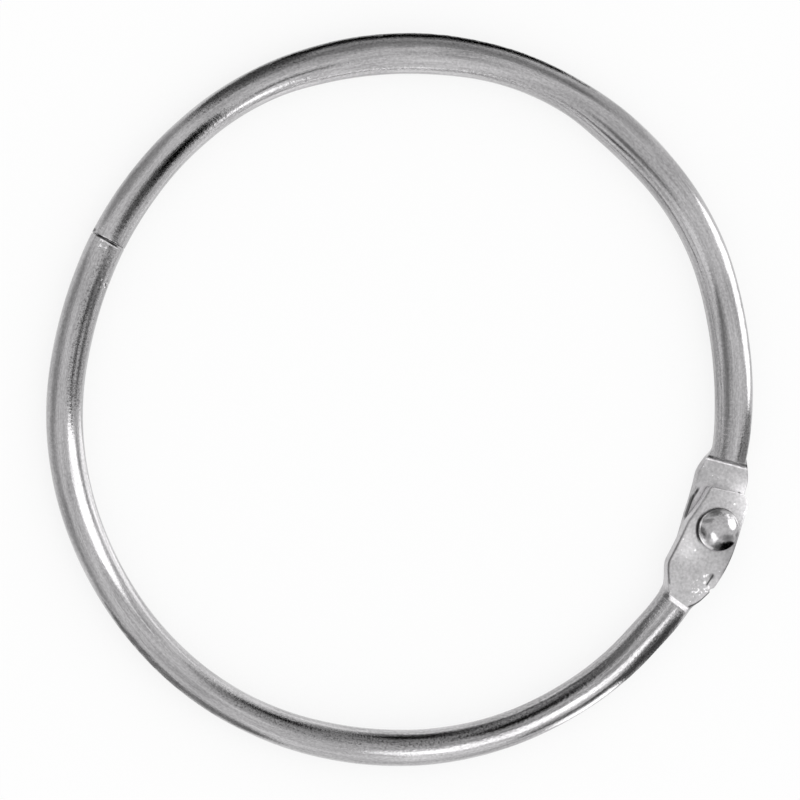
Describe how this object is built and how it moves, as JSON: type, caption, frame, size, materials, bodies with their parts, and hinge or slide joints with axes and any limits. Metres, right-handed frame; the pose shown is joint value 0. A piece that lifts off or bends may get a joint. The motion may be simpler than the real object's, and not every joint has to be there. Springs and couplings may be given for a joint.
{
  "type": "binder ring",
  "caption": "Hinged metal ring for punched sheets, in two hollow halves with a domed rivet and a snap closure opposite.",
  "frame": {"origin": "centre of the closed ring, on the plane that it lies on", "axes": "+Z out of the ring's plane on the side of the rivet's head, +X from the centre to the rivet, +Y on the upper half's side"},
  "size_m": [0.0854, 0.0844, 0.0052],
  "materials": {
    "upper_nickel": "bright nickel plating over rolled steel, with fine marks along the tube",
    "lower_nickel": "bright nickel plating over rolled steel, with fine marks along the tube",
    "rivet_nickel": "bright nickel plating over a smooth pressed dome"
  },
  "bodies": {
    "upper": {"upper_half": "upper_nickel", "rivet": "rivet_nickel"},
    "lower": {"lower_half": "lower_nickel"}
  },
  "joints": [
    {"name": "hinge", "type": "hinge", "parent": "upper", "child": "lower", "pos_m": [0.0406, 0, 0.0021], "axis": [0, 0, 1], "range_deg": [0, 160]}
  ]
}
